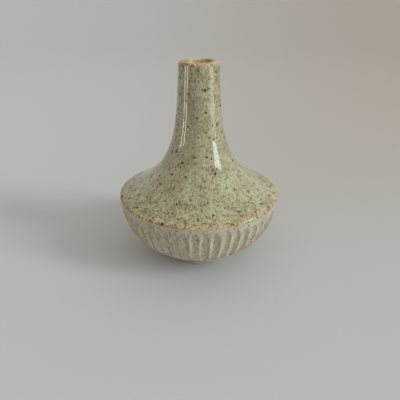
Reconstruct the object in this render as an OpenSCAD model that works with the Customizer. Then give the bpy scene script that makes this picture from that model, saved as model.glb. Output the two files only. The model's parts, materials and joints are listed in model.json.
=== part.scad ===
// Ceramic bud vase: a fluted bowl on a low foot, a flared shoulder and neck, and their coats of glaze.
// The origin is the centre of the foot's resting face, and +Z points up the axis of the wheel.

/* [Body] */
// Height from the resting face to the top of the lip
height = 104; // [100:0.5:110]
// Radius of the edge, the widest line of the vase
edge_r = 43; // [42:0.5:45]
// Height of the edge above the resting face
edge_z = 36.5; // [34:0.5:38]
// Outer radius of the lip
lip_r = 9.9; // [9.5:0.1:10.5]
// Radius of the mouth, inside its glaze
mouth_r = 7; // [6.5:0.1:7.3]
// Length of the straight part of the mouth
mouth_len = 22; // [16:1:24]

/* [Outline] */
// Outward lean of the neck's side under the lip, in degrees
neck_lean = 3.9; // [3:0.1:5]
// How long the neck holds that lean before it flares
neck_pull = 31.6; // [28:0.1:34]
// Slope of the shoulder where it meets the edge, in degrees
shoulder_slope = 21.9; // [20:0.1:24]
// How long the shoulder holds that slope before it turns up into the neck
shoulder_pull = 34.9; // [32:0.1:36]
// Inward lean of the bowl's side under the edge, in degrees
side_lean = 4.5; // [3:0.1:6]
// How long the bowl's side holds that lean
side_pull = 19.5; // [17:0.1:22]
// Slope of the bowl's underside where it meets the foot, in degrees
under_slope = 31.5; // [28:0.1:34]
// How long the underside holds that slope
under_pull = 18; // [16:0.1:20]

/* [Wall] */
// Width of the rims where the bowl and the shoulder are luted together
rim_w = 9.5; // [8.5:0.1:10.5]
// Slope of the cavity's roof where the two rims meet, in degrees
roof_slope = 25; // [22:0.5:30]
// Thickness of the bowl's floor with its glaze
floor_t = 4.2; // [3.8:0.1:5]
// Radius of the flat part of the floor inside
floor_r = 12; // [10:0.5:13]

/* [Foot] */
// Outer radius of the foot ring where it meets the bowl
foot_r = 20.2; // [19:0.1:21]
// Width of the foot ring
foot_w = 5; // [4:0.1:6]
// Height of the foot ring
foot_h = 3.4; // [2.8:0.1:3.8]
// Bevel on both edges of the resting face
foot_bevel = 0.6; // [0.3:0.1:1]

/* [Flutes] */
// Number of flutes carved round the bowl
flutes = 51; // [36:1:54]
// Radius of the carving tool's loop
flute_r = 2.2; // [1.8:0.1:2.4]
// Where a flute starts, as a share of the bowl's outline
flute_from = 0.06; // [0.05:0.01:0.1]
// Where a flute ends, as a share of the bowl's outline
flute_to = 0.42; // [0.36:0.01:0.44]

/* [Glaze] */
// Thickness of the glaze
glaze = 0.35; // [0.2:0.05:0.4]
// Height at which the bowl's glaze stops, short of the foot
glaze_line = 5; // [4.5:0.5:8]

/* [Slip] */
// Height of the band of slip in the luted joint
slip_h = 1.2; // [0.8:0.1:1.6]
// Width of the band of slip
slip_w = 3; // [2:0.1:3.5]

/* [Hidden] */
$fn = 180;
EPS = 0.01;
CLAY = "#a88a6c";
SLIP = "#8f7359";
SAGE = "#a3a184";
PALE = "#b3a893";
LINER = "#8b8468";

NECK_STEPS = 20;    // straight lengths in the outline of the shoulder and neck
BOWL_STEPS = 12;    // straight lengths in the outline of the bowl
LIP_STEPS = 12;     // straight lengths round the lip
CUTTER_SIDES = 48;  // smoothness of the carving tool's cut
REACH = 6;          // how far the tool runs past each end of a flute, clear of the wall
LEDGE = 0.4;        // how far the bowl stands out over the foot ring

lip_round = (lip_r - mouth_r) / 2;
lip_z = height - lip_round;
mouth_z = lip_z - mouth_len;
rim_r = edge_r - rim_w;
under_r = foot_r + LEDGE;
floor_z = foot_h + floor_t;
slip_r = rim_r + rim_w / 2;

// A point at angle a from the x direction, at length l
function polar(l, a) = [l * cos(a), l * sin(a)];

// The four controls of a curved outline, from its two ends and the pull at each
function controls(start, start_pull, end, end_pull) = [start, start + start_pull, end + end_pull, end];

// Outer outlines, from the lip down to the edge and from the edge down to the foot
NECK = controls([lip_r, lip_z], polar(neck_pull, neck_lean - 90),
    [edge_r, edge_z], polar(shoulder_pull, 180 - shoulder_slope));
BOWL = controls([edge_r, edge_z], polar(side_pull, -90 - side_lean),
    [under_r, foot_h], polar(under_pull, under_slope));

// The cavity's outlines, with pulls that keep the wall at about 4 to 5 mm
ROOF = controls([mouth_r, mouth_z], polar(neck_pull * 0.16, -90),
    [rim_r, edge_z], polar(shoulder_pull * 0.76, 180 - roof_slope));
BASIN = controls([rim_r, edge_z], polar(side_pull * 0.69, -roof_slope),
    [floor_r, floor_z], polar(under_pull * 0.97, 0));

// A point on an outline at share t of its way, and the direction of the outline there
function on(c, t) = pow(1 - t, 3) * c[0] + 3 * pow(1 - t, 2) * t * c[1]
    + 3 * (1 - t) * t * t * c[2] + pow(t, 3) * c[3];
function along(c, t) = pow(1 - t, 2) * (c[1] - c[0]) + 2 * (1 - t) * t * (c[2] - c[1])
    + t * t * (c[3] - c[2]);

// The direction away from the cavity, square to an outline that runs down the vase
function outward(c, t) = [-along(c, t).y, along(c, t).x] / norm(along(c, t));

// An end of an outline moved outward by s at its own height, or straight down where it lies flat
function moved_end(c, t, s) = on(c, t) + (outward(c, t).x > EPS ? [s / outward(c, t).x, 0] : [0, -s]);

// An outline moved outward by s, in straight lengths
function moved(c, s, steps) = concat(
    [moved_end(c, 0, s)],
    [for (i = [1:steps - 1]) on(c, i / steps) + s * outward(c, i / steps)],
    [moved_end(c, 1, s)]);

function neck_line(s) = moved(NECK, s, NECK_STEPS);
function bowl_line(s) = moved(BOWL, s, BOWL_STEPS);
function roof_line(s) = moved(ROOF, s, NECK_STEPS);
function basin_line(s) = moved(BASIN, s, BOWL_STEPS);
function reversed(list) = [for (i = [len(list) - 1:-1:0]) list[i]];

// The half circle of the lip from the mouth over to the outside, sunk by s
function lip_line(s) = [for (i = [0:LIP_STEPS])
    [lip_r - lip_round, lip_z] + polar(lip_round - s, 180 - 180 * i / LIP_STEPS)];

module turned(points) {
    rotate_extrude() polygon(points);
}

// The straight cuts of the round carving tool, grown by s for the clay under the glaze
module flute_cuts(s) {
    top = on(BOWL, flute_from);
    end = on(BOWL, flute_to);
    run = end - top;
    lean = atan2(run.x, -run.y);
    stroke = norm(run) + 2 * REACH;
    for (i = [0:flutes - 1])
        rotate([0, 0, (i + 0.5) * 360 / flutes - 90])
            translate([(top.x + end.x) / 2, 0, (top.y + end.y) / 2])
                rotate([0, -lean, 0])
                    translate([flute_r, 0, 0])
                        cylinder(h = stroke, r = flute_r + s, center = true, $fn = CUTTER_SIDES);
}

// The bowl without its cavity, sunk by s under its finished surface
module bowl_block(s) {
    difference() {
        turned(concat(bowl_line(-s), [[0, foot_h], [0, edge_z]]));
        flute_cuts(s);
    }
}

// The band of slip that keys the two rims together
module slip_band() {
    turned([for (x = [-1, 1], y = [-x, x]) [slip_r + x * slip_w / 2, edge_z + y * slip_h / 2]]);
}

module foot_ring() {
    inner_r = foot_r - foot_w;
    color(CLAY)
        turned([
            [inner_r, foot_h],
            [inner_r, foot_bevel],
            [inner_r + foot_bevel, 0],
            [foot_r - foot_bevel, 0],
            [foot_r, foot_bevel],
            [foot_r, foot_h]]);
}

module lower_bowl() {
    color(CLAY)
        difference() {
            bowl_block(glaze);
            turned(concat(basin_line(glaze), [[0, floor_z - glaze], [0, edge_z + 1], [rim_r, edge_z + 1]]));
            slip_band();
        }
}

module upper_body() {
    color(CLAY)
        difference() {
            turned(concat(neck_line(-glaze), reversed(roof_line(glaze)), lip_line(glaze)));
            slip_band();
        }
}

module seam_slip() {
    color(SLIP) slip_band();
}

module upper_glaze() {
    color(SAGE)
        turned(concat(neck_line(0), reversed(neck_line(-glaze)), reversed(lip_line(glaze)), lip_line(0)));
}

module lower_glaze() {
    color(PALE)
        difference() {
            bowl_block(0);
            bowl_block(glaze);
            cylinder(h = 2 * glaze_line, r = edge_r, center = true);
        }
}

module liner_glaze() {
    color(LINER)
        turned(concat(
            [[mouth_r + glaze, lip_z]], roof_line(glaze), basin_line(glaze), [[0, floor_z - glaze]],
            [[0, floor_z]], reversed(basin_line(0)), reversed(roof_line(0)), [[mouth_r, lip_z]]));
}

foot_ring();
lower_bowl();
upper_body();
seam_slip();
upper_glaze();
lower_glaze();
liner_glaze();
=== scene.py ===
import json
import math
import random

import bmesh
import bpy
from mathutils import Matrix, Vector


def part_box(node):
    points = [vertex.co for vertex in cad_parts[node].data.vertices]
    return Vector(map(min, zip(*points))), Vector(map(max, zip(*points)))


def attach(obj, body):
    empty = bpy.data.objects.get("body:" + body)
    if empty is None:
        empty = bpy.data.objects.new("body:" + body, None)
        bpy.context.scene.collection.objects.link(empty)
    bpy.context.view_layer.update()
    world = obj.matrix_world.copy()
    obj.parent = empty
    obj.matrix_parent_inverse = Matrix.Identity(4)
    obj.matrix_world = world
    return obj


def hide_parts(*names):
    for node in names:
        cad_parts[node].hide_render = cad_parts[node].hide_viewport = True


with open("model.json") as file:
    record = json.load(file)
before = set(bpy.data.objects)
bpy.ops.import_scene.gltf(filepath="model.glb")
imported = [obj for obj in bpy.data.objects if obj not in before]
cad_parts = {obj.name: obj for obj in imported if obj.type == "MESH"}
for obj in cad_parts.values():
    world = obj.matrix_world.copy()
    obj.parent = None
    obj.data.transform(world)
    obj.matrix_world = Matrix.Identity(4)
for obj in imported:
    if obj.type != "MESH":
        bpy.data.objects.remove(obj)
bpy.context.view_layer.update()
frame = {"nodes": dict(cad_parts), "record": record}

MM = 0.001

# ---------------------------------------------------------------- sizes of the vase, from the frame

SKIN_LOW, SKIN_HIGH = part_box("upper_glaze")
SLIP_LOW, SLIP_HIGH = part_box("seam_slip")
FOOT_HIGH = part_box("foot_ring")[1]
MOUTH = next(m for m in frame["record"]["mounts"] if m["name"] == "mouth")

SPARE = 0.12 * MM            # the visual model stays this far inside the frame's box, so that it can wander
EDGE_R = SKIN_HIGH.x - SPARE
EDGE_Z = SKIN_LOW.z
GLAZE = 0.35 * MM
MOUTH_R = MOUTH["dims"]["r_mm"] * MM
LIP_R = 9.9 * MM
LIP_ROUND = (LIP_R - MOUTH_R) / 2
LIP_Z = SKIN_HIGH.z - SPARE - LIP_ROUND
MOUTH_Z = LIP_Z - MOUTH["dims"]["length_mm"] * MM
RIM_R = EDGE_R - 9.5 * MM
CAVITY_R = 12 * MM           # the flat part of the floor inside
FOOT_R = FOOT_HIGH.x
FOOT_H = FOOT_HIGH.z
FOOT_W = 5.0 * MM
UNDER_R = FOOT_R + 0.4 * MM
FLOOR_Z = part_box("liner_glaze")[0].z + GLAZE
GLAZE_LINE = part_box("lower_glaze")[0].z
EDGE_ROUND = 1.2 * MM
BEAD_RUN = 1.4 * MM          # how far up the thick rolled end of the bowl's glaze reaches
BEAD_SWELL = 0.18 * MM

# ---------------------------------------------------------------- outlines: distance from the axis and height


def polar(length, degrees):
    return Vector((length * math.cos(math.radians(degrees)), length * math.sin(math.radians(degrees))))


def controls(start, start_pull, end, end_pull):
    """The four controls of a curved outline, from its two ends and the pull at each."""
    start, end = Vector(start), Vector(end)
    return start, start + start_pull, end + end_pull, end


NECK_LEAN, NECK_PULL = 3.9, 31.6 * MM            # under the lip
SHOULDER_SLOPE, SHOULDER_PULL = 21.9, 34.9 * MM  # down to the edge
SIDE_LEAN, SIDE_PULL = 4.5, 19.5 * MM            # under the edge
UNDER_SLOPE, UNDER_PULL = 31.5, 18 * MM          # down to the foot
ROOF_SLOPE = 25                                  # inside, where the two rims meet

NECK = controls(
    (LIP_R, LIP_Z), polar(NECK_PULL, NECK_LEAN - 90),
    (EDGE_R, EDGE_Z), polar(SHOULDER_PULL, 180 - SHOULDER_SLOPE),
)
BOWL = controls(
    (EDGE_R, EDGE_Z), polar(SIDE_PULL, -90 - SIDE_LEAN),
    (UNDER_R, FOOT_H), polar(UNDER_PULL, UNDER_SLOPE),
)
ROOF = controls(
    (MOUTH_R, MOUTH_Z), polar(5.1 * MM, -90),
    (RIM_R, EDGE_Z), polar(26.5 * MM, 180 - ROOF_SLOPE),
)
BASIN = controls(
    (RIM_R, EDGE_Z), polar(13.5 * MM, -ROOF_SLOPE),
    (CAVITY_R, FLOOR_Z), polar(17.5 * MM, 0),
)


def on(curve, t):
    """The point at share t of the way along an outline."""
    a, b, c, d = curve
    return (1 - t) ** 3 * a + 3 * (1 - t) ** 2 * t * b + 3 * (1 - t) * t * t * c + t ** 3 * d


def outward(curve, t):
    """The direction away from the cavity, square to an outline that runs down the vase."""
    a, b, c, d = curve
    run = (1 - t) ** 2 * (b - a) + 2 * (1 - t) * t * (c - b) + t * t * (d - c)
    return Vector((-run.y, run.x)).normalized()


def shares(first, last, steps):
    """Even steps from first to last, with both ends."""
    return [first + (last - first) * i / steps for i in range(steps + 1)]


def line(curve, inset, ts):
    """Points along an outline, sunk by inset."""
    return [on(curve, t) - inset * outward(curve, t) for t in ts]


def share_at_height(curve, z):
    """The share of the way down a falling outline at which it reaches a height."""
    low, high = 0.0, 1.0
    for _ in range(40):
        middle = (low + high) / 2
        low, high = (middle, high) if on(curve, middle).y > z else (low, middle)
    return low


def arc(centre, radius, start, end, steps):
    """Points round a centre from the angle start to the angle end, in degrees."""
    return [centre + polar(radius, start + (end - start) * i / steps) for i in range(steps + 1)]


def rounded(corner, before, after, radius, steps):
    """The arc that rounds a corner between the directions of travel before and after it, in degrees."""
    turn = before - after
    reach = radius * math.tan(math.radians(turn / 2))
    centre = corner - polar(reach, before) + polar(radius, before - 90)
    return arc(centre, radius, before + 90, after + 90, steps)


EDGE_ARC = rounded(Vector((EDGE_R, EDGE_Z)), -SHOULDER_SLOPE, -90 - SIDE_LEAN, EDGE_ROUND, 12)
SEAM = Vector((EDGE_R - 0.65 * MM, EDGE_Z))      # where both coats and both clays meet, under the edge
EDGE_CUT = 1.0 * MM                              # how much of each outline the rounded edge replaces
NECK_LAST = 1 - EDGE_CUT / (3 * SHOULDER_PULL)   # the share at which the shoulder turns into the rounded edge
BOWL_FIRST = EDGE_CUT / (3 * SIDE_PULL)          # and the share at which the bowl comes out of it
CLAY_FIRST, CLAY_LAST = 0.03, 0.97               # the same for the clay, whose edge is the seam
LIP_CENTRE = Vector((LIP_R - LIP_ROUND, LIP_Z))
LINE_SHARE = share_at_height(BOWL, GLAZE_LINE)
CLAY_STEPS = 70                                  # lengths down the outside of each clay section


def upper_glaze_profile():
    ts = shares(0, NECK_LAST, 110)
    outside = arc(LIP_CENTRE, LIP_ROUND, 180, 0, 24) + line(NECK, 0, ts)[1:] + EDGE_ARC
    inside = line(NECK, GLAZE, shares(0, CLAY_LAST, 40)) + [SEAM]
    inside = arc(LIP_CENTRE, LIP_ROUND - GLAZE, 180, 0, 10) + inside[1:]
    return outside + inside[::-1]


def lower_glaze_profile():
    outside = [EDGE_ARC[-1]]
    for t in shares(BOWL_FIRST, LINE_SHARE, 84):
        left = (on(BOWL, t) - on(BOWL, LINE_SHARE)).length / BEAD_RUN
        outside.append(on(BOWL, t) + BEAD_SWELL * math.exp(-left * left) * outward(BOWL, t))
    thick = GLAZE + BEAD_SWELL
    middle = outside[-1] - thick / 2 * outward(BOWL, LINE_SHARE)
    facing = math.degrees(math.atan2(outward(BOWL, LINE_SHARE).y, outward(BOWL, LINE_SHARE).x))
    end = arc(middle, thick / 2, facing, facing - 180, 8)[1:-1]
    inside = line(BOWL, GLAZE, shares(CLAY_FIRST, LINE_SHARE, 44))
    return outside + end + inside[::-1] + [SEAM]


def hole_radius(node):
    """The radius of the hole in a ring-shaped node of the frame."""
    return min(math.hypot(v.co.x, v.co.y) for v in frame["nodes"][node].data.vertices)


def slip_groove(z):
    """The two corners of the slip's groove at height z, from outside in."""
    return [Vector((SLIP_HIGH.x, z)), Vector((hole_radius("seam_slip"), z))]


def lower_bowl_profile():
    outside = [SEAM] + line(BOWL, GLAZE, shares(CLAY_FIRST, 1, CLAY_STEPS))
    under = [Vector((r, FOOT_H + dome(r))) for r in shares(UNDER_R - GLAZE, 0, 48)]
    basin = line(BASIN, -GLAZE, shares(0, 1, 50))
    top, bottom = slip_groove(EDGE_Z), slip_groove(SLIP_LOW.z)
    seam = [top[1], bottom[1], bottom[0], top[0]]
    return outside + under + basin[::-1] + seam


def dome(r):
    """How far the underside rises towards its middle, with the rings that the turning tool left."""
    inner = FOOT_R - FOOT_W
    if r > inner:
        return 0.0
    rise, ring_depth, ring_gap = 0.35 * MM, 0.05 * MM, 0.35 * MM
    share = 1 - (r / inner) ** 2
    return share * rise + ring_depth * math.sin(r / ring_gap) * min(1.0, 4 * share)


def upper_body_profile():
    outside = arc(LIP_CENTRE, LIP_ROUND - GLAZE, 180, 0, 12)
    outside += line(NECK, GLAZE, shares(0, CLAY_LAST, CLAY_STEPS))[1:]
    roof = line(ROOF, -GLAZE, shares(0, 1, 50))
    bottom, top = slip_groove(EDGE_Z), slip_groove(SLIP_HIGH.z)
    seam = [SEAM, bottom[0], top[0], top[1], bottom[1]]
    return outside + seam + roof[::-1]


def liner_glaze_profile():
    inside = [Vector((MOUTH_R, LIP_Z - i * (LIP_Z - MOUTH_Z) / 8)) for i in range(8)]
    inside += line(ROOF, 0, shares(0, 1, 60)) + line(BASIN, 0, shares(0, 1, 50))[1:] + [Vector((0, FLOOR_Z))]
    outside = [Vector((MOUTH_R + GLAZE, LIP_Z))] + line(ROOF, -GLAZE, shares(0, 1, 60))
    outside += line(BASIN, -GLAZE, shares(0, 1, 50))[1:] + [Vector((0, FLOOR_Z - GLAZE))]
    return inside[::-1] + outside


def foot_ring_profile():
    inner = FOOT_R - FOOT_W
    bevel, taper, clear = 0.55 * MM, 0.2 * MM, 1.4 * MM
    ring = [Vector((FOOT_R, FOOT_H)), Vector((FOOT_R - taper / 2, FOOT_H / 2 + bevel / 2))]
    ring += arc(Vector((FOOT_R - taper - bevel, bevel)), bevel, 0, -90, 7)
    ring += [Vector((r, 0.0)) for r in shares(FOOT_R - clear, inner + clear, 8)]
    ring += arc(Vector((inner + bevel, bevel)), bevel, -90, -180, 7)
    return ring + [Vector((inner, FOOT_H))]


# ---------------------------------------------------------------- node trees written as expressions


class Wire:
    """One output of a node, which takes arithmetic."""

    def __init__(self, net, socket):
        self.net = net
        self.socket = socket

    def maths(self, operation, *others):
        return self.net.maths(operation, self, *others)

    def __add__(self, other):
        return self.maths("ADD", other)

    __radd__ = __add__

    def __sub__(self, other):
        return self.maths("SUBTRACT", other)

    def __rsub__(self, other):
        return self.net.maths("SUBTRACT", other, self)

    def __mul__(self, other):
        return self.maths("MULTIPLY", other)

    __rmul__ = __mul__

    def __truediv__(self, other):
        return self.maths("DIVIDE", other)

    def __rtruediv__(self, other):
        return self.net.maths("DIVIDE", other, self)

    def __pow__(self, other):
        return self.maths("POWER", other)

    def __gt__(self, other):
        return self.maths("GREATER_THAN", other)

    def __lt__(self, other):
        return self.maths("LESS_THAN", other)

    def also(self, name):
        """Another output of the same node."""
        return Wire(self.net, self.net.find(self.socket.node.outputs, name))


class Net:
    """Adds nodes to one tree."""

    def __init__(self, tree):
        self.tree = tree

    @staticmethod
    def find(sockets, name):
        """A socket by its place, its identifier or its name."""
        if isinstance(name, int):
            return sockets[name]
        return next((s for s in sockets if s.identifier == name), None) or sockets[name]

    def node(self, kind, settings=None, inputs=None, output=0):
        """Adds a node: its type, its settings first, then its sockets. It gives back one of its outputs."""
        made = self.tree.nodes.new(kind)
        for name, value in (settings or {}).items():
            setattr(made, name, value)
        for name, value in (inputs or {}).items():
            socket = self.find(made.inputs, name)
            if isinstance(value, Wire):
                self.tree.links.new(value.socket, socket)
            else:
                socket.default_value = value
        return Wire(self, self.find(made.outputs, output)) if len(made.outputs) else made

    def maths(self, operation, *values):
        return self.node("ShaderNodeMath", {"operation": operation}, dict(enumerate(values)))

    def most(self, first, *others):
        """The largest of some values."""
        for other in others:
            first = self.maths("MAXIMUM", first, other)
        return first

    def smooth(self, value, low, high):
        """0 at low and below, 1 at high and above, with a soft turn between."""
        return self.node(
            "ShaderNodeMapRange",
            {"interpolation_type": "SMOOTHSTEP"},
            {"Value": value, "From Min": low, "From Max": high},
        )

    def near(self, value, middle, width):
        """A soft hump: 1 at the middle, falling away within width of it."""
        return self.maths("EXPONENT", ((value - middle) / width) ** 2 * -1)

    def mix(self, factor, a, b):
        """Colour a turned towards colour b."""
        return self.node(
            "ShaderNodeMix",
            {"data_type": "RGBA", "blend_type": "MIX", "clamp_factor": True},
            {"Factor_Float": factor, "A_Color": a, "B_Color": b},
            "Result_Color",
        )

    def vector(self, operation, *values, output=0, **sockets):
        inputs = {**dict(enumerate(values)), **sockets}
        return self.node("ShaderNodeVectorMath", {"operation": operation}, inputs, output)

    def point(self, x, y, z):
        return self.node("ShaderNodeCombineXYZ", None, {0: x, 1: y, 2: z})

    def parts(self, vector):
        x = self.node("ShaderNodeSeparateXYZ", None, {0: vector})
        return x, x.also("Y"), x.also("Z")

    def noise(self, where, scale, detail=2.0, roughness=0.5, output=0):
        return self.node(
            "ShaderNodeTexNoise", None,
            {"Vector": where, "Scale": scale, "Detail": detail, "Roughness": roughness}, output,
        )


# ---------------------------------------------------------------- the wheel, the carving tool and the hand

WHEEL_R = 50 * MM
FLUTES = 51
FLUTE_TOP = EDGE_Z - 2.9 * MM
FLUTE_END = EDGE_Z - 24.5 * MM
FLUTE_DEPTH = 1.35 * MM
TOOL_R = 2.2 * MM
CORNER = 38                  # degrees between two faces from which the line between them shows as sharp


def tree_input(tree, name, kind, default=None):
    socket = tree.interface.new_socket(name, in_out="INPUT", socket_type=kind)
    if default is not None:
        socket.default_value = default


def wheel_tree():
    """Turns the profile round the axis, cuts flutes into its carved points and adds the marks of the hand."""
    tree = bpy.data.node_groups.new("wheel", "GeometryNodeTree")
    tree.interface.new_socket("Geometry", in_out="OUTPUT", socket_type="NodeSocketGeometry")
    tree_input(tree, "Profile", "NodeSocketGeometry")
    for name, kind, default in (
        ("Segments", "NodeSocketInt", 240),
        ("Flutes", "NodeSocketInt", FLUTES),
        ("Flute top", "NodeSocketFloat", FLUTE_TOP),
        ("Flute end", "NodeSocketFloat", FLUTE_END),
        ("Flute depth", "NodeSocketFloat", FLUTE_DEPTH),
        ("Tool radius", "NodeSocketFloat", TOOL_R),
        ("Wander", "NodeSocketFloat", 0.0),
        ("Wheel marks", "NodeSocketFloat", 0.0),
        ("Seed", "NodeSocketInt", 7),
        ("Material", "NodeSocketMaterial", None),
    ):
        tree_input(tree, name, kind, default)
    net = Net(tree)
    given = net.node("NodeGroupInput")

    profile = net.node("GeometryNodeMeshToCurve", None, {"Mesh": given.also("Profile")})
    circle = net.node(
        "GeometryNodeCurvePrimitiveCircle", None, {"Resolution": given.also("Segments"), "Radius": WHEEL_R}
    )
    turned = net.node("GeometryNodeCurveToMesh", None, {"Curve": circle, "Profile Curve": profile})
    turned = net.node("GeometryNodeMergeByDistance", None, {"Geometry": turned, "Distance": 0.002 * MM})

    x, y, z = net.parts(net.node("GeometryNodeInputPosition"))
    r = (x * x + y * y) ** 0.5
    angle = net.maths("ARCTAN2", y, x)
    carved = net.node(
        "GeometryNodeInputNamedAttribute", {"data_type": "FLOAT"}, {"Name": "carved"}, "Attribute"
    )
    depth = flute_depth(net, given, angle, r, z)
    turned = net.node(
        "GeometryNodeStoreNamedAttribute",
        {"data_type": "FLOAT", "domain": "POINT"},
        {"Geometry": turned, "Name": "groove", "Value": depth / given.also("Flute depth") * carved},
    )
    away = net.point(x / (r + MM * MM), y / (r + MM * MM), 0.0)
    turned = net.node(
        "GeometryNodeSetPosition", None,
        {"Geometry": turned, "Offset": net.vector("SCALE", away, Scale=depth * carved * -1)},
    )

    # the wheel's spiral and a slow wander, both along the surface's own direction
    spiral = net.maths("SINE", (r - z) / (0.55 * MM) + angle)
    place = net.node("GeometryNodeInputPosition")
    patchy = net.noise(place, 60.0, 1.0)
    slow = net.noise(place, 28.0, 1.0) - 0.5
    push = spiral * patchy * given.also("Wheel marks") + slow * 2 * given.also("Wander")
    normal = net.node("GeometryNodeInputNormal")
    turned = net.node(
        "GeometryNodeSetPosition", None,
        {"Geometry": turned, "Offset": net.vector("SCALE", normal, Scale=push)},
    )
    corner = net.node("GeometryNodeInputMeshEdgeAngle") > math.radians(CORNER)
    turned = net.node(
        "GeometryNodeSetShadeSmooth", {"domain": "FACE"}, {"Geometry": turned, "Shade Smooth": True}
    )
    turned = net.node(
        "GeometryNodeSetShadeSmooth", {"domain": "EDGE"},
        {"Geometry": turned, "Selection": corner, "Shade Smooth": False},
    )
    turned = net.node("GeometryNodeRealizeInstances", None, {"Geometry": turned})
    turned = net.node(
        "GeometryNodeSetMaterial", None, {"Geometry": turned, "Material": given.also("Material")}
    )
    net.node("NodeGroupOutput", None, {"Geometry": turned})
    return tree


def flute_depth(net, given, angle, r, z):
    """How deep the tool cut at a point: round-bottomed strokes side by side, each a little different. A ridge
    faces the front."""
    count = given.also("Flutes")
    turn = (angle / (2 * math.pi) + 0.25) * count
    cell = net.maths("FLOOR", turn)
    pitch = r * (2 * math.pi) / count
    deepest = 0.0
    for side in (-1, 0, 1):
        number = net.maths("FLOORED_MODULO", cell + side, count)

        def chance(low, high, extra):
            seed = given.also("Seed") + extra
            return net.node(
                "FunctionNodeRandomValue", {"data_type": "FLOAT"},
                {"Min_001": low, "Max_001": high, "ID": number, "Seed": seed}, "Value_001",
            )

        across = (turn - cell - side - 0.5 - chance(-0.07, 0.07, 1)) * pitch
        top = given.also("Flute top") + chance(-0.35 * MM, 0.25 * MM, 2)
        end = given.also("Flute end") + chance(-0.9 * MM, 0.9 * MM, 3)
        way = net.maths("ABSOLUTE", (z - (top + end) / 2) / ((top - end) / 2))
        stroke = (1 - way ** 3.5) * given.also("Flute depth") * chance(0.8, 1.1, 4)
        cut = stroke - across * across / (2 * given.also("Tool radius"))
        deepest = net.maths("SMOOTH_MAX", deepest, cut, 0.1 * MM)
    return deepest


def turned_piece(name, profile, material, node, slot, ring=True, carved=(), **sizes):
    """A finished piece: the profile is turned, made a plain mesh, faced outwards and put on its body."""
    count = len(profile)
    edges = [(i, (i + 1) % count) for i in range(count if ring else count - 1)]
    mesh = bpy.data.meshes.new(name + "_profile")
    mesh.from_pydata([(p.x - WHEEL_R, -p.y, 0.0) for p in profile], edges, [])
    attribute = mesh.attributes.new("carved", "FLOAT", "POINT")
    attribute.data.foreach_set("value", [1.0 if i in carved else 0.0 for i in range(count)])
    blank = bpy.data.objects.new(name + "_blank", mesh)
    bpy.context.scene.collection.objects.link(blank)
    modifier = blank.modifiers.new("wheel", "NODES")
    modifier.node_group = WHEEL
    values = {"Material": material, **sizes}
    for item in WHEEL.interface.items_tree:
        if item.in_out == "INPUT" and item.name in values:
            modifier[item.identifier] = values[item.name]
    bpy.context.view_layer.update()
    evaluated = blank.evaluated_get(bpy.context.evaluated_depsgraph_get())
    made = bpy.data.meshes.new_from_object(evaluated)
    made.name = name
    bpy.data.objects.remove(blank)
    body = bmesh.new()
    body.from_mesh(made)
    if body.calc_volume(signed=True) < 0:
        bmesh.ops.reverse_faces(body, faces=body.faces)
    body.to_mesh(made)
    body.free()
    piece = bpy.data.objects.new(name, made)
    bpy.context.scene.collection.objects.link(piece)
    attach(piece, "root")
    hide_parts(node)
    return piece


# ---------------------------------------------------------------- materials


def tint(red, green, blue):
    """A colour from its screen values."""
    return tuple(((c / 255 + 0.055) / 1.055) ** 2.4 for c in (red, green, blue)) + (1.0,)


def new_material(name):
    material = bpy.data.materials.new(name)
    material.use_nodes = True
    material.node_tree.nodes.clear()
    return material, Net(material.node_tree)


def surface(net, settings, height):
    """The finished shader: settings for its sockets, and its relief in millimetres."""
    settings["Normal"] = net.node("ShaderNodeBump", None, {"Strength": 1.0, "Distance": MM, "Height": height})
    shader = net.node("ShaderNodeBsdfPrincipled", None, settings)
    net.node("ShaderNodeOutputMaterial", None, {"Surface": shader})


class Spot:
    """Where a point lies on the vase, in millimetres."""

    def __init__(self, net):
        self.net = net
        self.at = net.vector("SCALE", net.node("ShaderNodeTexCoord", output="Object"), Scale=1 / MM)
        self.x, self.y, self.z = net.parts(self.at)
        self.r = (self.x * self.x + self.y * self.y) ** 0.5 + 0.001

    def flow(self, across, along):
        """Coordinates that follow the glaze's run from the lip to the foot: round the vase on a ring with the
        radius across, and down it by along for each millimetre of the way."""
        turn = across / self.r
        return self.net.point(self.x * turn, self.y * turn, (self.r - self.z) * along)


def specks(net, where, scale, share, size, soft):
    """Round specks, one in each chosen cell: 1 in a speck and 0 outside it."""
    cell = net.node("ShaderNodeTexVoronoi", {"feature": "F1"}, {"Vector": where, "Scale": scale})
    first, second, _ = net.parts(cell.also("Color"))
    radius = (first * 0.7 + 0.3) * size
    inside = net.smooth(radius - cell, 0.0, soft)
    return inside * (second < share)


def unsettled(net, where, amount, scale):
    """Coordinates pushed about by noise, so that specks aren't round."""
    push = net.vector("SUBTRACT", net.noise(where, scale, 2.0, output="Color"), (0.5, 0.5, 0.5))
    return net.vector("ADD", where, net.vector("SCALE", push, Scale=amount))


PINHOLE = (-5.7, -30.8, EDGE_Z / MM + 5.9)       # in millimetres, on the shoulder
NECK_SPECKS = 64
NECK_STAINS = 9


def scattered(count, smallest, largest, crowding, seed):
    """Marks strewn over the shoulder and neck, each as its degrees round from the front, its height and its
    radius in millimetres. The greater the crowding, the nearer they keep to the edge."""
    chance = random.Random(seed)
    marks = []
    for _ in range(count):
        turn = chance.uniform(-180.0, 180.0)
        rise = chance.random() ** crowding
        height = EDGE_Z + 1.0 * MM + rise * (LIP_Z - EDGE_Z - 3.0 * MM)
        marks.append((turn, height / MM, chance.uniform(smallest, largest)))
    return marks


def nearest(net, where, marks):
    """How far a point is from the nearest mark on the shoulder or neck, as a share of the mark's radius."""
    found = 9.0
    for turn, height, radius in marks:
        r = on(NECK, share_at_height(NECK, height * MM)).x / MM
        place = (r * math.sin(math.radians(turn)), -r * math.cos(math.radians(turn)), height)
        found = net.maths("MINIMUM", net.vector("DISTANCE", where, place, output="Value") / radius, found)
    return found


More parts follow.
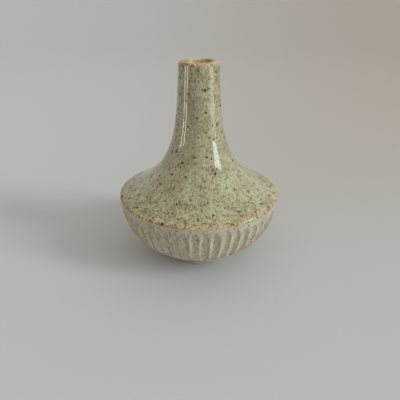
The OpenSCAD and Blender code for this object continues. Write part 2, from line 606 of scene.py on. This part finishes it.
def speckled_gloss():
    """The glossy grey-green glaze of the shoulder and neck, with iron specks, runs and tan edges."""
    material, net = new_material("speckled_gloss")
    spot = Spot(net)
    edge_r = EDGE_R / MM
    lip_z = LIP_Z / MM
    on_shoulder = net.smooth(spot.r, 12.5, 18.0)

    def along_flow(neck, shoulder):
        return neck + (shoulder - neck) * on_shoulder

    broad = net.noise(spot.at, 0.055, 3.0, 0.55)
    patch = net.noise(spot.at, 0.14, 4.0, 0.6)
    mottle = net.noise(spot.at, 1.05, 3.0, 0.65)
    flecks = along_flow(
        net.noise(spot.flow(16.0, 0.8), 1.0, 3.0, 0.6), net.noise(spot.flow(37.0, 0.42), 1.0, 3.0, 0.6)
    )
    runs = along_flow(
        net.noise(spot.flow(9.0, 0.06), 1.0, 3.0, 0.6), net.noise(spot.flow(26.0, 0.12), 1.0, 3.0, 0.6)
    )

    # body colour: browner up the neck, greener and paler where the glaze pools on the shoulder
    colour = net.mix(net.smooth(patch, 0.38, 0.62), tint(148, 141, 109), tint(164, 159, 127))
    pool = net.smooth(spot.r, 14.0, 24.0) * (1 - net.smooth(spot.r, 33.0, 41.0) * 0.7)
    pool = pool * net.smooth(broad * 0.6 + patch * 0.4, 0.40, 0.60)
    colour = net.mix(pool * 0.65, colour, tint(172, 176, 147))
    colour = net.mix(net.smooth(runs, 0.50, 0.66) * 0.35, colour, tint(130, 118, 78))

    # tan where the glaze is thin over the edge and the lip, and painted shade as extra brown on their left
    # side, away from the window
    ragged = (patch - 0.5) * 9.0 + (flecks - 0.5) * 6.0
    thin = net.smooth(spot.r + ragged, edge_r - 4.6, edge_r - 0.4)
    lip = net.smooth(spot.z + ragged * 0.3, lip_z - 0.5, lip_z + 0.9)
    # painted shade: the lip's brown band reaches lower on the left side
    left_lip_painted_shade = net.smooth(spot.z, lip_z - 1.2, lip_z) * net.smooth(spot.x, -4.0, -9.0)
    lip = net.most(lip, left_lip_painted_shade)
    # painted shade: more brown on the left part of the edge
    rust_and_left_shade = net.smooth(mottle + net.smooth(spot.x, -20.0, -40.0) * 0.1, 0.44, 0.60)
    colour = net.mix(thin * 0.65, colour, net.mix(rust_and_left_shade, tint(199, 178, 136), tint(146, 114, 68)))
    burnt_and_left_shade = net.smooth(patch * 0.7 + mottle * 0.3, 0.46, 0.58)
    # painted shade: the lip browner on its left side
    burnt_and_left_shade = net.most(burnt_and_left_shade, net.smooth(spot.x, -2.0, -8.0) * 0.9)
    colour = net.mix(lip * 0.85, colour, net.mix(burnt_and_left_shade, tint(214, 181, 130), tint(136, 90, 52)))

    # flecks of iron drawn out along the flow, and pale flecks between them
    colour = net.mix(net.smooth(flecks, 0.46, 0.37) * 0.6, colour, tint(192, 188, 158))
    colour = net.mix(net.smooth(flecks, 0.54, 0.62) * 0.62, colour, tint(104, 92, 50))
    colour = net.mix(net.smooth(mottle, 0.58, 0.66) * 0.6, colour, tint(96, 80, 38))

    # middling specks, and large ones in brown haloes, thickest along the edge
    crowd = net.near(spot.r, edge_r - 4.0, 4.0) * 0.4
    middling = along_flow(
        specks(net, unsettled(net, spot.flow(8.0, 0.55), 0.5, 1.3), 0.9, 0.5, 0.46, 0.1),
        specks(net, unsettled(net, spot.flow(23.0, 0.42), 0.5, 1.3), 0.9, 0.5 + crowd, 0.46, 0.1),
    )
    colour = net.mix(middling * 0.8, colour, tint(82, 64, 26))
    neck_at = unsettled(net, spot.flow(5.0, 0.34), 0.9, 2.2)
    shoulder_at = unsettled(net, spot.flow(13.0, 0.3), 0.9, 2.2)
    halo = along_flow(
        specks(net, neck_at, 0.8, 0.3, 0.62, 0.3), specks(net, shoulder_at, 0.8, 0.36 + crowd, 0.58, 0.3)
    )
    colour = net.mix(halo * 0.5, colour, tint(126, 102, 56))
    large = along_flow(
        specks(net, neck_at, 0.8, 0.3, 0.3, 0.08), specks(net, shoulder_at, 0.8, 0.36 + crowd, 0.3, 0.08)
    )
    colour = net.mix(large * 0.88, colour, tint(58, 42, 10))

    # the boldest specks of iron, and rusty stains where iron bled into the glaze
    loose = unsettled(net, spot.at, 0.9, 0.8)
    stains = scattered(NECK_STAINS, smallest=1.1, largest=1.6, crowding=0.7, seed=5)
    stained = net.smooth(nearest(net, loose, stains), 1.3, 0.3)
    colour = net.mix(stained * 0.55, colour, tint(122, 84, 46))
    bold_specks = scattered(NECK_SPECKS, smallest=0.42, largest=0.78, crowding=1.7, seed=23)
    away = nearest(net, loose, bold_specks)
    colour = net.mix(net.smooth(away, 2.0, 0.8) * 0.35, colour, tint(126, 102, 56))
    bold = net.smooth(away, 1.15, 0.8)
    colour = net.mix(bold * 0.93, colour, tint(46, 34, 10))

    # one open pinhole on the shoulder, with a raised rim, and painted shade darkening its middle
    away = net.vector("DISTANCE", spot.at, PINHOLE, output="Value")
    pinhole = net.near(away, 0.85, 0.3) * 0.12 - net.near(away, 0.0, 0.6) * 0.3
    colour = net.mix(net.near(away, 0.0, 0.45) * 0.7, colour, tint(92, 70, 34))

    # the coat of gloss is lost on the specks, though not on the rounded edge, which is dry at the left
    rim = net.smooth(spot.r, edge_r - 1.6, edge_r - 0.8)
    dry = rim * net.smooth(spot.x, 6.0, -12.0)
    lost = net.most(large, middling, bold) * 0.6 * (1 - rim) + dry * 0.7
    peel = net.noise(spot.at, 0.45, 2.0) * 0.02 + runs * 0.02 - large * 0.02 * (1 - rim) + pinhole
    surface(net, {
        "Base Color": colour,
        "Roughness": 0.32 + mottle * 0.1,
        "IOR": 1.5,
        "Specular IOR Level": 0.2,
        "Coat Weight": 0.85 - lost,
        "Coat Roughness": 0.05,
    }, peel)
    return material


def thin_satin():
    """The thin satin glaze over the flutes: cream-green where it pools in them, brown where it breaks on the
    ridges."""
    material, net = new_material("thin_satin")
    spot = Spot(net)
    groove = net.node("ShaderNodeAttribute", {"attribute_name": "groove"}, None, "Fac")
    patch = net.noise(spot.at, 0.2, 3.0, 0.6)
    mottle = net.noise(spot.at, 1.0, 3.0, 0.65)
    flecks = net.noise(spot.flow(46.0, 0.45), 1.0, 3.0, 0.6)
    colour = net.mix(net.smooth(patch, 0.35, 0.65), tint(186, 178, 156), tint(176, 167, 148))
    fluted = net.smooth(spot.z, FLUTE_END / MM - 0.5, FLUTE_END / MM + 2.5)
    fluted = fluted * net.smooth(spot.z + (patch - 0.5) * 6, FLUTE_TOP / MM - 1.0, FLUTE_TOP / MM - 5.0)
    colour = net.mix(net.smooth(groove, 0.25, 0.8) * 0.5, colour, tint(200, 198, 172))
    crest = net.smooth(groove + (mottle - 0.5) * 0.4, 0.32, 0.08) * fluted
    colour = net.mix(crest * net.smooth(patch, 0.3, 0.55) * 0.62, colour, tint(132, 106, 74))
    colour = net.mix(net.smooth(flecks, 0.53, 0.62) * 0.5, colour, tint(122, 102, 70))
    colour = net.mix(net.smooth(mottle, 0.54, 0.64) * 0.55, colour, tint(118, 98, 66))
    colour = net.mix(net.smooth(mottle, 0.46, 0.36) * 0.5, colour, tint(208, 200, 174))
    low = net.smooth(spot.z + (patch - 0.5) * 4, FLUTE_END / MM + 1.0, FLUTE_END / MM - 2.0)
    colour = net.mix(low * 0.5, colour, tint(186, 166, 146))
    edge = net.smooth(spot.z + (mottle - 0.5) * 4, EDGE_Z / MM - 2.4, EDGE_Z / MM - 0.2)
    colour = net.mix(edge * 0.5, colour, tint(190, 170, 132))
    high = net.smooth(spot.z + (patch - 0.5) * 12, EDGE_Z / MM - 12.0, EDGE_Z / MM - 2.0)
    dots = specks(net, unsettled(net, spot.at, 0.9, 1.2), 0.5, 0.22 + high * 0.4, 0.34, 0.08)
    colour = net.mix(dots * 0.8, colour, tint(80, 66, 42))

    # painted light: paler towards the foot, standing in for light bounced up from the floor onto the bowl's
    # underside
    colour = net.vector("SCALE", colour, Scale=1.0 + net.smooth(spot.z, 24.0, 11.0) * 0.18)
    surface(net, {
        "Base Color": colour,
        "Roughness": 0.48 + patch * 0.12,
        "IOR": 1.48,
        "Coat Weight": 0.15,
        "Coat Roughness": 0.25,
    }, mottle * 0.05 + flecks * 0.05)
    return material


def liner_gloss():
    """The glossy glaze inside, painted paler than the outside to stand in for light on the inner wall, warmer
    than the outside, with small specks.
    """
    material, net = new_material("liner_gloss")
    spot = Spot(net)
    patch = net.noise(spot.at, 0.25, 3.0, 0.6)
    colour = net.mix(net.smooth(patch, 0.35, 0.65), tint(196, 188, 152), tint(214, 206, 172))
    dots = specks(net, unsettled(net, spot.at, 0.5, 1.1), 0.6, 0.35, 0.3, 0.08)
    colour = net.mix(dots * 0.7, colour, tint(84, 66, 38))
    surface(net, {
        "Base Color": colour,
        "Roughness": 0.28 + patch * 0.08,
        "IOR": 1.5,
        "Coat Weight": 0.7,
        "Coat Roughness": 0.08,
    }, patch * 0.06)
    return material


def bare_clay():
    """Unglazed stoneware, buff-grey, with dark grog and the lines of the turning tool."""
    material, net = new_material("bare_clay")
    spot = Spot(net)
    patch = net.noise(spot.at, 0.3, 3.0, 0.6)
    grain = net.noise(spot.at, 3.0, 3.0, 0.65)
    lines = net.noise(net.point(spot.r, 0.0, spot.z), 2.2, 2.0)
    colour = net.mix(net.smooth(patch, 0.32, 0.68), tint(182, 176, 148), tint(158, 152, 126))
    colour = net.mix(net.smooth(grain, 0.5, 0.7) * 0.5, colour, tint(112, 98, 66))
    grog = specks(net, unsettled(net, spot.at, 0.3, 2.0), 1.3, 0.3, 0.3, 0.08)
    colour = net.mix(grog * 0.6, colour, tint(70, 52, 34))
    surface(net, {
        "Base Color": colour,
        "Roughness": 0.78 + grain * 0.14,
        "IOR": 1.45,
    }, grain * 0.09 + lines * 0.12 + grog * 0.05)
    return material


def fired_slip():
    """The slip in the joint: finer and darker than the clay."""
    material, net = new_material("fired_slip")
    spot = Spot(net)
    grain = net.noise(spot.at, 4.0, 3.0, 0.6)
    colour = net.mix(net.smooth(grain, 0.4, 0.6), tint(128, 102, 76), tint(108, 84, 60))
    surface(net, {"Base Color": colour, "Roughness": 0.8 + grain * 0.1, "IOR": 1.45}, grain * 0.05)
    return material


# ---------------------------------------------------------------- the vase

WHEEL = wheel_tree()
GLOSS = speckled_gloss()
SATIN = thin_satin()
LINER = liner_gloss()
CLAY = bare_clay()

upper = upper_glaze_profile()
turned_piece("shoulder_and_neck_glaze", upper, GLOSS, "upper_glaze", "speckled_gloss",
             Segments=480, Wander=0.04 * MM, **{"Wheel marks": 0.01 * MM})
lower = lower_glaze_profile()
turned_piece("fluted_bowl_glaze", lower, SATIN, "lower_glaze", "thin_satin",
             carved=range(len(lower) - 1), Segments=714, Wander=0.06 * MM)
bowl = lower_bowl_profile()
turned_piece("bowl_clay", bowl, CLAY, "lower_bowl", "bare_clay", ring=False,
             carved=range(1, CLAY_STEPS + 2), Segments=510, Wander=0.06 * MM)
turned_piece("neck_clay", upper_body_profile(), CLAY, "upper_body", "bare_clay", Segments=240)
turned_piece("liner", liner_glaze_profile(), LINER, "liner_glaze", "liner_gloss", ring=False, Segments=240)
turned_piece("foot", foot_ring_profile(), CLAY, "foot_ring", "bare_clay", Segments=300)

slip = frame["nodes"]["seam_slip"]
slip.data.materials.clear()
slip.data.materials.append(fired_slip())

# ---------------------------------------------------------------- floor, light and camera

FLOOR_REACH = 30.0           # metres
SKY_STRENGTH = 1.44
WINDOW_TURN = 71             # degrees round from the camera's side, to its right
VASE_MIDDLE = Vector((0, 0, 60 * MM))
CAMERA_BACK = 199.9 * MM
CAMERA_ABOVE_EDGE = 93.8 * MM
CAMERA_DOWN = 26.75          # degrees


def paper_with_painted_shade():
    """Pale cool paper, with painted shade: warmer and darker far off behind the vase on the right, and a
    little darker far away.
    """
    material, net = new_material("paper_with_painted_shade")
    spot = Spot(net)
    # painted shade: the paper warmer and darker behind the vase on the right
    right = net.smooth(spot.x / (spot.r + 400.0), -0.4, 0.4)
    behind = net.smooth(spot.y / (spot.r + 150.0), -0.5, 0.7)
    colour = net.mix(right * behind, tint(191, 193, 196), tint(181, 173, 165))
    # painted fall-off of light: a little darker far from the vase
    colour = net.vector("SCALE", colour, Scale=1.0 - net.smooth(spot.r, 200.0, 1200.0) * 0.07)
    tooth = net.noise(spot.at, 1.5, 2.0)
    surface(net, {"Base Color": colour, "Roughness": 0.8, "Specular IOR Level": 0.0}, tooth * 0.01)
    return material


def make_stage():
    """A pale round floor, so wide that its far edge is lost in the backdrop."""
    mesh = bpy.data.meshes.new("pale_floor")
    disc = bmesh.new()
    bmesh.ops.create_circle(disc, cap_ends=True, segments=96, radius=FLOOR_REACH)
    disc.to_mesh(mesh)
    disc.free()
    mesh.materials.append(paper_with_painted_shade())
    floor = bpy.data.objects.new("pale_floor", mesh)
    bpy.context.scene.collection.objects.link(floor)


def aim(light, azimuth, elevation, distance):
    """Hangs a light so that it faces the vase. Azimuth 0 is the camera's side, and 90 its right."""
    lamp = bpy.data.objects.new(light.name, light)
    a, e = math.radians(azimuth), math.radians(elevation)
    back = Vector((math.sin(a) * math.cos(e), -math.cos(a) * math.cos(e), math.sin(e)))
    lamp.location = VASE_MIDDLE + back * distance
    lamp.rotation_euler = back.to_track_quat("Z", "Y").to_euler()
    bpy.context.scene.collection.objects.link(lamp)
    return lamp


def make_light():
    """Soft light from all round, a tall window on the right, and the pale shapes that the gloss mirrors."""
    world = bpy.data.worlds.new("studio")
    bpy.context.scene.world = world
    world.use_nodes = True
    world.node_tree.nodes.clear()
    net = Net(world.node_tree)

    # near the horizon the backdrop has the colour of the floor's far edge
    right, behind, up = net.parts(net.node("ShaderNodeTexCoord", output="Generated"))
    warm = net.smooth(right, -0.4, 0.4) * net.smooth(behind, -0.5, 0.7)
    horizon = net.mix(warm, tint(149, 150, 148), tint(144, 137, 127))
    sky = net.mix(net.smooth(right, -0.9, 0.9), tint(176, 173, 165), tint(194, 192, 186))
    glow = net.mix(net.smooth(up, 0.0, 0.3), horizon, sky)
    shine = net.node("ShaderNodeBackground", None, {"Color": glow, "Strength": SKY_STRENGTH})
    net.node("ShaderNodeOutputWorld", None, {"Surface": shine})

    # the window, as three soft discs of daylight one above the other
    for elevation, strength in ((10, 0.88), (22, 0.77), (34, 0.63)):
        light = bpy.data.lights.new(f"window_{elevation}", "SUN")
        light.energy = strength
        light.angle = math.radians(13)
        light.color = (0.86, 0.96, 1.0)
        aim(light, WINDOW_TURN, elevation, 2.0).visible_glossy = False

    # the shapes that the gloss mirrors
    for name, azimuth, elevation, width, height, power, colour in (
        ("right_window", 67, 18, 0.19, 0.27, 1.35, (0.86, 1.0, 1.02)),
        ("right_sheen", WINDOW_TURN, -3, 0.25, 0.1, 0.26, (1.0, 1.0, 0.95)),
        ("left_strip_a", -64, 1, 0.025, 0.15, 0.2, (1.0, 1.0, 1.0)),
        ("left_strip_b", -78, 1, 0.025, 0.15, 0.2, (1.0, 1.0, 1.0)),
    ):
        light = bpy.data.lights.new(name, "AREA")
        light.shape = "RECTANGLE"
        light.size = width
        light.size_y = height
        light.energy = power
        light.color = colour
        aim(light, azimuth, elevation, 0.6).visible_diffuse = False


def make_camera():
    """At the height and distance from which the mouth shows as a thin crescent."""
    camera = bpy.data.cameras.new("camera")
    camera.sensor_width = 36.0
    camera.lens = 36.0
    camera.shift_x = 0.00275
    holder = bpy.data.objects.new("camera", camera)
    holder.location = (0.0, -CAMERA_BACK, EDGE_Z + CAMERA_ABOVE_EDGE)
    holder.rotation_euler = (math.radians(90 - CAMERA_DOWN), 0.0, 0.0)
    bpy.context.scene.collection.objects.link(holder)
    bpy.context.scene.camera = holder


make_stage()
make_light()
make_camera()
bpy.context.scene.view_settings.view_transform = "Standard"
